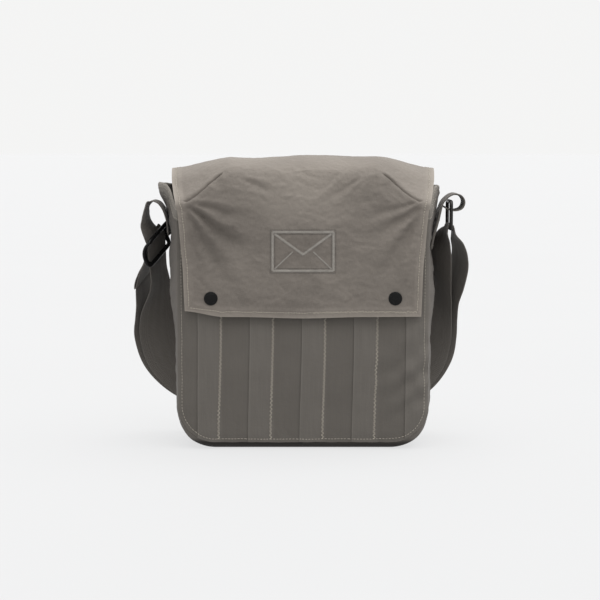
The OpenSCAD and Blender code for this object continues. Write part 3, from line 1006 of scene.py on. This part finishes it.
flap_points, flap_u, flap_v = surface(flap_place, flap_columns, crown_rows + face_rows, flap_lift)
flap_worn_and_lit = flap_wear_and_highlights(flap_points, flap_u, flap_v)


def laid_sheet(name, material, points, thickness, worn_and_lit=None):
    """A piece of cloth from a grid of points that is already worked out."""
    rows, columns = points.shape[0] - 1, points.shape[1] - 1
    wear_and_light_of = None if worn_and_lit is None else lambda *_: worn_and_lit
    return sheet(name, material, lambda u, v: points, columns, rows, None, thickness, wear_and_light_of)


flap_nylon = cloth_material("flap_nylon", (0.119, 0.104, 0.091), (0.262, 0.234, 0.203), 0.6, 0.68)
lining_cloth = cloth_material("lining_cloth", (0.045, 0.042, 0.038), (0.070, 0.066, 0.060), 0.3, 0.6, 0.0005)

crown_part, face_part = slice(0, crown_rows + 1), slice(crown_rows, None)
crown = laid_sheet("flap_crown", flap_nylon, flap_points[crown_part], flap_thick, flap_worn_and_lit[crown_part])
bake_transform(crown)
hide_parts("flap_crown_cloth", "flap_root")

face = laid_sheet("flap_face", flap_nylon, flap_points[face_part], flap_thick, flap_worn_and_lit[face_part])
face_x, _, face_z = points_of(face).T
# Darker patches on the face, at its left middle and lower right.
mark(face, "soil", 0.24 * np.exp(-(((face_x + 86) / 32) ** 2) - ((face_z - 205) / 30) ** 2)
     + 0.14 * np.exp(-(((face_x - 78) / 30) ** 2) - ((face_z - 160) / 20) ** 2))
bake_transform(face)
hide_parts("flap_face_cloth")


lining_thick = 0.5
lining_in = 2.0                    # how far the lining lies inside the outer cloth
flap_outward = facing(flap_points) * lining_in
lined = flap_points - flap_outward
lining_columns = slice(6, flap_columns - 5, 3)
crown_lined = lined[4:crown_rows + 1:2, lining_columns]
face_lined = lined[crown_rows:-6:2, lining_columns]
crown_lining = laid_sheet("flap_crown_underside", lining_cloth, crown_lined, lining_thick)
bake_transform(crown_lining)
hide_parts("flap_crown_lining")
face_lining = laid_sheet("flap_face_underside", lining_cloth, face_lined, lining_thick)
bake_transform(face_lining)
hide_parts("flap_face_lining")

stitch_in = 4                      # columns and rows from the edge to the hem's stitches
proud = flap_points + flap_outward
sides = (stitch_in, flap_columns - stitch_in)
crown_stitches = sew("flap_crown_stitches", [crown], [proud[2:crown_rows + 1, k] for k in sides], 2.6, 0.75)
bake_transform(crown_stitches)
low_row = len(flap_rows) - 1 - stitch_in
middle_column = flap_columns // 2 - 8
face_lines = [proud[crown_rows:low_row, k] for k in sides]
face_lines.append(proud[low_row, middle_column:flap_columns - stitch_in])
face_stitches = sew("flap_face_stitches", [face], face_lines, 2.6, 0.75)
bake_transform(face_stitches)
zigzag_line = proud[low_row, stitch_in:middle_column]
face_zigzag = sew("flap_hem_zigzag", [face], [zigzag_line], 1.7, 0.7, 2.0)
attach(face_zigzag, "flap_front")


# ---- Embroidered envelope --------------------------------------------------------------------------
# A plain envelope in satin stitch of a paler grey thread, edged by a darker running stitch.
# It stands for the mail bag's badge: an oblong and the two edges of its closed flap.

satin_thread = thread_material("satin_thread", (0.290, 0.270, 0.242), (0.190, 0.176, 0.158))
dark_thread = thread_material("dark_thread", (0.060, 0.055, 0.050), (0.040, 0.037, 0.034))
badge_half_x, badge_half_z = 29, 18.5
satin_pitch = 0.42
before_face = -70                  # depth from which the stitches are laid straight on to the face
inwards = (0, 1, 0)


def on_badge(x, z):
    return (badge_half_x * x, before_face, badge_z + badge_half_z * z)


def badge_oblong(wide, high):
    """The envelope's outline, wider and higher by those factors."""
    return [on_badge(x * wide, z * high) for x, z in ((-1, 1), (-1, -1), (1, -1), (1, 1), (-1, 1))]


badge_flap = [on_badge(-0.93, 0.9), on_badge(0, -0.16), on_badge(0.93, 0.9)]
badge_folds = [[on_badge(side * 0.93, -0.9), on_badge(side * 0.34, -0.02)] for side in (-1, 1)]
edging = [badge_oblong(1.075, 1.115), badge_oblong(0.925, 0.885)]
outline = [badge_oblong(1, 1), badge_flap]
satin = sew("badge_satin", [face], outline, satin_pitch, 0.62, 3.0, satin_thread, inwards)
thin_satin = sew("badge_folds", [face], badge_folds, satin_pitch, 0.55, 1.7, satin_thread, inwards)
badge_edging = sew("badge_edging", [face], edging, 1.6, 0.5, 0, dark_thread, inwards)
for piece in (satin, thin_satin, badge_edging):
    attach(piece, "flap_front")


# ---- Press studs -----------------------------------------------------------------------------------
# Two black ring-spring studs. The domed cap and its rivet are on the flap with a socket behind it;
# the stud and the post that holds it are on the bag's front.

def lacquer(name, base, rough, metallic, shine):
    """Glossy black finish with a light orange peel and a few dull rubs."""
    material, start = new_material(name)
    place = start.place()
    rubs = start.cloudy(place, 420, 4)
    peel = start.cloudy(place, 1500, 2)
    finish_material(start, {
        "Base Color": start.mix(start.ramp(rubs, 0.5, 0.72), colour(*base), shade(base, 1.9)),
        "Roughness": rough + rubs * 0.16,
        "Metallic": metallic,
        "Specular IOR Level": shine,
        "Normal": start.bump(peel, 0.08, 0.0002),
    })
    return material


black_gloss = lacquer("black_gloss", (0.004, 0.004, 0.004), 0.18, 0.0, 0.14)
black_metal = lacquer("black_metal", (0.030, 0.029, 0.028), 0.26, 0.9, 0.3)
plain_metal = lacquer("plain_metal", (0.340, 0.330, 0.310), 0.30, 1.0, 0.5)


# The cap's section, from the middle of its dome, round its rim and down its rivet:
# radii for a cap of 6.5 mm, and depths from the flap's face.
cap_radii = [0.0, 2.4, 4.4, 5.6, 6.1, 6.45, 6.6, 6.45, 5.7, 2.0, 1.5, 1.5, 0.0]
cap_depths = [-2.5, -2.35, -1.95, -1.5, -1.35, -1.15, -0.6, -0.1, 0.1, 0.2, 0.6, 3.2, 3.2]
cap_face = stud_low.y + 2.3


def cap(name, x):
    """A domed disc with a rolled rim, turned about its own line through the flap."""
    def place(u, v):
        at = v * (len(cap_radii) - 1)
        radius = np.interp(at, np.arange(len(cap_radii)), cap_radii) * cap_radius / 6.5
        depth = np.interp(at, np.arange(len(cap_radii)), cap_depths)
        turn = u * 2 * math.pi
        return np.stack([x + radius * np.cos(turn), cap_face + depth, cap_z - radius * np.sin(turn)], -1)

    return sheet(name, black_gloss, place, 48, 48, closed=True)


caps = cap("stud_caps_domed", -cap_x)
join(caps, cap("right_cap", cap_x))
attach(caps, "flap_front")
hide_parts("stud_caps")


def finish_node(node, material):
    """Gives a carried-over CAD node its finish."""
    piece = frame["nodes"][node]
    piece.data.materials.clear()
    piece.data.materials.append(material)


for node, metal in (("stud_sockets", black_metal), ("studs", black_metal), ("stud_posts", plain_metal)):
    finish_node(node, metal)


# ---- Base board ------------------------------------------------------------------------------------
# A stiff grey fibre board between the base cloth and the lining.

board, start = new_material("fibre_board")
fibres = start.streaky(start.place(), (1, 6, 1), 300, 4)
finish_material(start, {
    "Base Color": start.mix(fibres, colour(0.20, 0.165, 0.12), colour(0.30, 0.255, 0.19)),
    "Roughness": 0.82 + fibres * 0.1,
    "Normal": start.bump(fibres, 0.3, 0.0004),
})
board_low, board_high = box_mm("base_board")
board_in = 9                       # the base cloth turns up round its long edges
bpy.ops.object.select_all(action="DESELECT")
bpy.ops.mesh.primitive_cube_add(size=1)
base_board = bpy.context.object
base_board.name = base_board.data.name = "base_board_cut"
size = (board_high - board_low) * MM
for vertex in base_board.data.vertices:
    vertex.co = (vertex.co.x * size.x, vertex.co.y * (size.y - 2 * board_in * MM),
                 vertex.co.z * size.z + (board_low.z + board_high.z) / 2 * MM)
corners = base_board.modifiers.new("corners", "BEVEL")
corners.width = 0.0007
corners.segments = 3
apply_all(base_board)
base_board.data.materials.append(board)
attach(base_board, "bag")
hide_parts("base_board")


# ---- Linings and pocket ----------------------------------------------------------------------------
# Thin dark cloth inside the body: a front, a back and a gusset strip, and a slip pocket on the back.

lining_middle = np.array([0, 0, (mouth_top + seam_low) / 2])
lining_drawn_in = (0.975, 1, 0.972)


def lining_lift(points, u, v):
    return clouds(points, (26, 26, 40), 71) * 0.9 + creases(points, (20, 20, 30), 72) * 0.5


def lining_y(y_of, gap, x, z):
    """Depth of a panel's lining: a little nearer the middle of the bag than the panel, and gap from it."""
    return y_of(x, z) * 0.92 + gap


def lining_panel(place_of, y_of, gap):
    """The places of a panel's lining, drawn in from the panel's own."""
    def place(u, v):
        points = lining_middle + (place_of(1 - u, v * 0.93) - lining_middle) * lining_drawn_in
        points[..., 1] = lining_y(y_of, gap, points[..., 0], points[..., 2])
        return points

    return place


def lining_gusset_place(u, v):
    points = gusset_place(1 - (0.03 + 0.94 * u), v)
    middle = np.array([0, 0, 150])
    points = middle + (points - middle) * (0.975, 0.93, 0.972)
    points[..., 2] = np.maximum(points[..., 2], seam_low + 6)
    return points


lining_gap = 0.9
lining_front_place = lining_panel(front_place, front_y, lining_gap)
lining_back_place = lining_panel(back_place, back_y, -lining_gap)
linings = [
    ("lining_front_cloth", "lining_front", lining_front_place, 60, 60, (0.228, 0.215)),
    ("lining_back_cloth", "lining_back", lining_back_place, 60, 60, (0.230, 0.218)),
    ("lining_gusset_cloth", "lining_gusset", lining_gusset_place, 160, 24, (0.076, 0.64)),
]
for name, node, placed, across, along, flat in linings:
    piece = sheet(name, lining_cloth, placed, across, along, lining_lift, lining_thick)
    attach(piece, "bag")
    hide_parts(node)

pocket_low, pocket_high = box_mm("inner_pocket")


def pocket_place(u, v):
    x = pocket_low.x + (pocket_high.x - pocket_low.x) * u
    z = pocket_low.z + (pocket_high.z - pocket_low.z) * v
    away = 1.2 + 2.6 * np.sin(np.clip(v, 0, 1) * math.pi * 0.62) * np.sin(u * math.pi) ** 0.6
    wall = lining_y(back_y, -lining_gap, x * lining_drawn_in[0], z)
    return np.stack([x, wall - away, z - 1.5 * np.sin(u * math.pi) * v], -1)


pocket = sheet("pocket_cloth", lining_cloth, pocket_place, 60, 44, lining_lift, 0.6)
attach(pocket, "bag")
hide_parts("inner_pocket")


# ---- Strap -----------------------------------------------------------------------------------------
# One length of dark nylon webbing. It is sewn up the left gusset, arches over, runs through the
# slider, behind the bag and round the ring's lower bar, and comes back to the slider.

web_wide = 38
web_thick = 1.5
web_end = 0.4                      # length over which the webbing's end rounds off
web_cup = 0.5                      # how far its edges cup up or down along its run

slider_at = np.array([-143.4, -1, 197.6])
slider_down = unit(np.array([0, 0.46, -0.888]))
slider_across = np.array([0.351, 0.831, 0.431])
slider_across = unit(slider_across - slider_across @ slider_down * slider_down)
slider_in = np.cross(slider_across, -slider_down)


def by_slider(x, y, z):
    """Places by the slider's own axes: across the webbing, up it and in towards the bag."""
    outer = np.multiply.outer
    return slider_at + outer(x, slider_across) - outer(y, slider_down) + outer(z, slider_in)


# Each stop is a point on the webbing's middle line and the direction across it.
square = [0, 1, 0]
root_route = [
    [[-130.4, 0, 205], square],
    [[-131.4, 0, 215], square],
    [[-133.2, 0, 225], square],
    [[-136.4, 0, 232.6], square],
    [[-140.6, 0, 237.4], square],
    [[-145.8, -0.2, 238.8], square],
    [[-150.4, -0.8, 235.8], [0.02, 1, 0]],
    [[-152.2, -2.4, 229.5], [0.04, 0.99, 0.04]],
    [[-152.4, -3.6, 223], [0.08, 0.98, 0.10]],
    [[-152.0, -4.2, 219.5], [0.11, 0.98, 0.14]],
]
loop_route = [
    [[-152.4, -3.7, 222.5], [0.08, 0.98, 0.10]],
    [[-151.2, -4.8, 216.5], [0.15, 0.96, 0.20]],
    [by_slider(-1, 12, -4.6), [0.25, 0.90, 0.33]],
    [by_slider(0, 3, -1.2), slider_across],
    [by_slider(0, -12, 0), slider_across],
    [by_slider(0, -40, 0), slider_across],
    [[-145, 30, 143], [0.62, 0.72, 0.30]],
    [[-147.5, 42, 121], [0.85, 0.48, 0.22]],
    [[-147, 52, 100], [0.92, 0.30, 0.25]],
    [[-140, 59, 76], [0.80, 0.12, 0.59]],
    [[-122, 62, 56], [0.58, 0.03, 0.81]],
    [[-95, 61, 43], [0.36, 0, 0.93]],
    [[-50, 57, 33], [0.15, 0, 0.99]],
    [[0, 55, 29], [0, 0, 1]],
    [[45, 57, 32], [-0.13, 0, 0.99]],
    [[82, 60, 40], [-0.34, 0, 0.94]],
    [[108, 61, 52], [-0.58, 0.04, 0.81]],
    [[125, 57, 72], [-0.82, 0.16, 0.55]],
    [[132, 49, 95], [-0.85, 0.38, 0.36]],
    [[135, 37, 120], [-0.72, 0.6, 0.35]],
    [[137, 24, 145], [-0.5, 0.78, 0.37]],
    [[135.5, 12, 170], [-0.50, 0.80, 0.35]],
    [[135.0, 4.5, 190], [-0.50, 0.84, 0.2]],
    [[138.0, 1.2, 204], [-0.26, 0.96, 0.05]],
    [[140.2, 0, 212], square],
    [[141.4, 0, 215.2], square],
    [[143.2, 0, 216.2], square],
    [[145, 0, 215.2], square],
    [[146.2, 0, 212], square],
    [[147, 0, 208], [0, 1, 0.03]],
    [[150.5, 1, 200], [-0.22, 0.95, 0.12]],
    [[154, 6, 184], [-0.34, 0.90, 0.28]],
    [[151, 14, 161], [-0.35, 0.85, 0.38]],
    [[144.5, 23, 144], [-0.5, 0.77, 0.38]],
    [[141, 33, 127], [-0.66, 0.66, 0.36]],
    [[139, 44.5, 105], [-0.8, 0.45, 0.4]],
    [[134.5, 55, 82], [-0.86, 0.22, 0.46]],
    [[120, 64.5, 58], [-0.7, 0.08, 0.7]],
    [[96, 66, 42], [-0.45, 0.02, 0.89]],
    [[50, 62, 31.5], [-0.15, 0, 0.99]],
    [[0, 60, 28], [0, 0, 1]],
    [[-50, 62, 31.5], [0.15, 0, 0.99]],
    [[-95, 66.5, 42], [0.36, 0, 0.93]],
    [[-125, 67.5, 55], [0.58, 0.03, 0.81]],
    [[-146, 64.5, 77], [0.78, 0.15, 0.6]],
    [[-154, 57, 102], [0.85, 0.35, 0.35]],
    [[-156.5, 45, 128], [0.62, 0.7, 0.33]],
    [[-158, 35, 146], [0.42, 0.83, 0.36]],
    [[-158.4, 27, 160], [0.36, 0.83, 0.42]],
]
end_route = [
    [[-158.4, 27, 160], [0.36, 0.83, 0.42]],
    [by_slider(0, -28, -11), slider_across],
    [by_slider(0, -14, -4.6), slider_across],
    [by_slider(0, -4, -2), slider_across],
    [by_slider(0, 0.4, -1.9), slider_across],
    [by_slider(0, 2.4, -3.6), slider_across],
    [by_slider(0, 0.4, -5.3), slider_across],
    [by_slider(0, -4, -4.4), slider_across],
    [by_slider(0, -13.3, -6.1), slider_across],
    [by_slider(0, -27.3, -12.5), slider_across],
    [[-159.8, 27.4, 160.4], [0.36, 0.83, 0.42]],
    [[-160.0, 28.8, 157.6], [0.36, 0.83, 0.42]],
]


def webbing_material(name):
    """Heavy webbing: ribs across it and lanes along it, about 2 mm apart, rubbed selvedges, and painted
    light where the band marks it.
    """
    material, start = new_material(name)
    place = start.place()
    on_cloth = start.place("UV")
    wear = start.marked("wear")
    ribs = start.bands("Y", on_cloth, 0.0016, {"Distortion": 1.2, "Detail": 1, "Detail Scale": 3})
    lanes = start.bands("X", on_cloth, 0.0021)
    dye = start.cloudy(place, 28, 4)
    fuzz = start.cloudy(place, 900, 3)
    toned = start.mix(dye, colour(0.060, 0.053, 0.047), colour(0.092, 0.083, 0.073))
    ribbed = start.mix(ribs * lanes * 0.4, toned, colour(0.108, 0.100, 0.090))
    finish_material(start, {
        "Base Color": start.mix(wear * (0.5 + fuzz * 0.5), ribbed, colour(0.165, 0.152, 0.137)),
        "Roughness": 0.80 + (fuzz - 0.5) * 0.15,
        "Specular IOR Level": 0.2,
        "Sheen Weight": 0.1,
        "Sheen Roughness": 0.4,
        "Normal": start.bump(ribs * 0.6 + lanes * 0.4, 0.8, 0.0003, start.bump(fuzz, 0.25, 0.0003)),
    })
    return material


strap_webbing = webbing_material("strap_webbing")


def run_through(stops, gone, at):
    """Points at distances along a smooth curve through stops that lie at the distances gone."""
    step = np.diff(gone)[:, None]
    pace = np.diff(stops, axis=0) / step
    between = (pace[:-1] * step[1:] + pace[1:] * step[:-1]) / (step[1:] + step[:-1])
    slope = np.concatenate([pace[:1], between, pace[-1:]])
    i = np.clip(np.searchsorted(gone, at, side="right") - 1, 0, len(step) - 1)
    h = step[i]
    f = (at - gone[i])[..., None] / h
    start, end = stops[i], stops[i + 1]
    rest = slope[i] * (f**3 - 2 * f**2 + f) * h + slope[i + 1] * (f**3 - f**2) * h
    return start * (2 * f**3 - 3 * f**2 + 1) + end * (3 * f**2 - 2 * f**3) + rest


def band_frames(route, share):
    """Middle points, directions across and directions out of the face of a band at shares of its length."""
    middles = np.array([np.asarray(stop[0], float) for stop in route])
    acrosses = np.array([np.asarray(stop[1], float) for stop in route])
    gone = np.concatenate([[0], np.cumsum(np.linalg.norm(np.diff(middles, axis=0), axis=1))])
    at = share * gone[-1]
    way = unit(run_through(middles, gone, at + 0.1) - run_through(middles, gone, at - 0.1))
    over_band = run_through(acrosses, gone, at)
    over_band = unit(over_band - (over_band * way).sum(-1, keepdims=True) * way)
    return run_through(middles, gone, at), over_band, np.cross(way, over_band), gone[-1]


def band(name, route, rows, thick_of=None):
    """Webbing along a route: a flat section with full edges, closed at both ends, slightly cupped."""
    length = band_frames(route, np.array([0.0, 1.0]))[3]

    def place(u, v):
        middle, over_band, out, _ = band_frames(route, v)
        turn = u * 2 * math.pi
        side = np.sign(np.cos(turn)) * np.abs(np.cos(turn)) ** 0.42
        face = np.sign(np.sin(turn)) * np.abs(np.sin(turn)) ** 0.34
        thick = web_thick if thick_of is None else thick_of(v)
        from_end = np.minimum(v, 1 - v) * length
        closing = np.clip(from_end / web_end, 0, 1) ** 0.5
        edge = middle + over_band * (side * web_wide / 2)[..., None]
        wave = clouds(edge, (16, 16, 22), 81) * 0.35 * side**2
        cup = web_cup * side**2 * np.sin(v * length / 47.0)
        proud = face * thick / 2 * closing + (wave + cup) * np.clip(from_end / 20, 0, 1) ** 2
        return edge + out * proud[..., None]

    def worn_and_lit(points, u, v):
        rim = np.abs(np.cos(u * 2 * math.pi))
        # Painted light: the webbing is paler low down and towards the bag's right.
        lit = 0.5 * ease(160, 70, points[..., 2]) + 0.3 * ease(0, 60, points[..., 0])
        return np.clip(0.6 * rim**10 * (0.6 + 0.4 * clouds(points, (4, 4, 4), 82)) + lit, 0, 1)

    piece = sheet(name, strap_webbing, place, 36, rows, wear_and_light_of=worn_and_lit, closed=True)
    return piece, length


strap_root, root_length = band("strap_root_webbing", root_route, 40)
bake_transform(strap_root)
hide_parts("strap_root")
root_length * MM

strap, loop_length = band("strap_webbing_loop", loop_route, 460)
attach(strap, "strap_loop")
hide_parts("strap")
loop_length * MM

strap_tail, tail_length = band("strap_end_webbing", end_route, 70)
tail_turn = {"a": "strap_loop", "b": "strap_slider",
             "start": (-0.158, 0.026, 0.163), "end": tuple(by_slider(0, -16, -6) * MM)}
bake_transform(strap_tail)
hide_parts("strap_end")
tail_length * MM


def across_band(route, share, inset, proud_by):
    """A line across a band, proud of its face by that much."""
    middle, over_band, out, _ = band_frames(route, np.array([share]))
    reach = web_wide / 2 - inset
    return [middle[0] + over_band[0] * reach * side + out[0] * proud_by for side in (-1, -0.33, 0.33, 1)]


end_rows = [across_band(end_route, share, 1.5, -3) for share in (0.92, 0.955)]
end_stitches = sew("strap_end_stitches", [strap_tail], end_rows, 2.4, 0.9)
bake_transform(end_stitches)
root_rows = [across_band(root_route, share, 2.5, 3) for share in (0.06, 0.30)]
crossed = [[root_rows[0][0], root_rows[1][3]], [root_rows[0][3], root_rows[1][0]]]
root_stitches = sew("strap_root_stitches", [strap_root], root_rows + crossed, 2.8, 0.6)
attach(root_stitches, "bag")


# ---- Slider ----------------------------------------------------------------------------------------
# A moulded three-bar slider in glossy black. Two bars lie on the bag's side of the webbing and the
# middle bar behind it; the webbing's end is folded round the middle bar and sewn.

slider_half = 24                   # half its length across the webbing
slider_reach = 13.2                # from its middle to the middle of an outer bar
slider_bar = 2.3                   # radius of its bars
slider_corner = 7                  # how square its corners are: 2 is an ellipse


def slider_outline(v):
    """Points of the frame's rounded oblong, at shares of the way round it."""
    cos, sin = np.cos(v * 2 * math.pi), np.sin(v * 2 * math.pi)
    grow = 1 / (np.abs(cos) ** slider_corner + np.abs(sin) ** slider_corner) ** (1 / slider_corner)
    return np.stack([cos * grow * slider_half, sin * grow * slider_reach], -1)


def slider_place(u, v):
    x, y = np.moveaxis(slider_outline(v), -1, 0)
    way = unit(slider_outline(v + 0.001) - slider_outline(v))
    turn = u * 2 * math.pi
    at_end = ease(slider_half - 4, slider_half, np.abs(x))
    wide = slider_bar * (1 + 0.35 * at_end)
    x = x + way[..., 1] * np.cos(turn) * wide
    y = y - way[..., 0] * np.cos(turn) * wide
    z = 3.2 - 4.7 * at_end * (1 - (y / slider_reach) ** 2).clip(0, 1) + np.sin(turn) * slider_bar * 0.85
    return by_slider(x, y, z)


def middle_bar_place(u, v):
    x = (2 * v - 1) * (slider_half + 0.6)
    turn = u * 2 * math.pi
    radius = 1.35 * (1 - np.abs(2 * v - 1) ** 16)
    y, z = radius * np.cos(turn), -3.4 + radius * np.sin(turn) * 0.85 + 1.6 * np.abs(2 * v - 1) ** 8
    return by_slider(x, y, z)


slider_frame = sheet("slider_frame", black_gloss, slider_place, 20, 140, closed=True)
middle_bar = sheet("slider_middle_bar", black_gloss, middle_bar_place, 20, 60, closed=True)
join(slider_frame, middle_bar)
edit(slider_frame, face_out)
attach(slider_frame, "strap_slider")
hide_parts("slider")


# ---- Ring and its tab ------------------------------------------------------------------------------
# A thin black wire ring hangs in a loop of the same webbing. The tab's two ends are sewn together
# down the right gusset, and its cut edges have frayed pale.

finish_node("strap_ring", black_metal)

tab_route = [
    [[124.4, 0, 192], square],
    [[125.6, 0, 200], square],
    [[128.6, 0, 211], square],
    [[131.4, 0, 221], square],
    [[133.6, 0, 230], square],
    [[136.2, 0, 237], square],
    [[140.6, 0, 242], square],
    [[147.0, 0, 245], square],
    [[153.0, 0, 243.4], square],
    [[156.0, 0, 238], square],
    [[154.0, 0, 232], square],
    [[147.6, 0, 229.6], square],
    [[141.0, 0, 230.8], square],
    [[136.6, 0, 233.6], square],
]


def tab_thick(v):
    """The tab's two layers lie together where they are sewn, and one layer makes its loop."""
    return web_thick + 1.3 * ease(0.48, 0.36, v)


ring_tab, tab_length = band("ring_tab_webbing", tab_route, 90, tab_thick)
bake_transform(ring_tab)
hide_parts("ring_tab_base", "ring_tab_loop")
tab_length * MM
tab_rows = [across_band(tab_route, share, 2.5, -4) for share in (0.04, 0.30)]
tab_stitches = sew("ring_tab_stitches", [ring_tab], tab_rows, 2.8, 0.6)
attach(tab_stitches, "bag")


# ---- Sizes -----------------------------------------------------------------------------------------
# The finished bag's box, without the floor and the hidden CAD parts.

low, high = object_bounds()
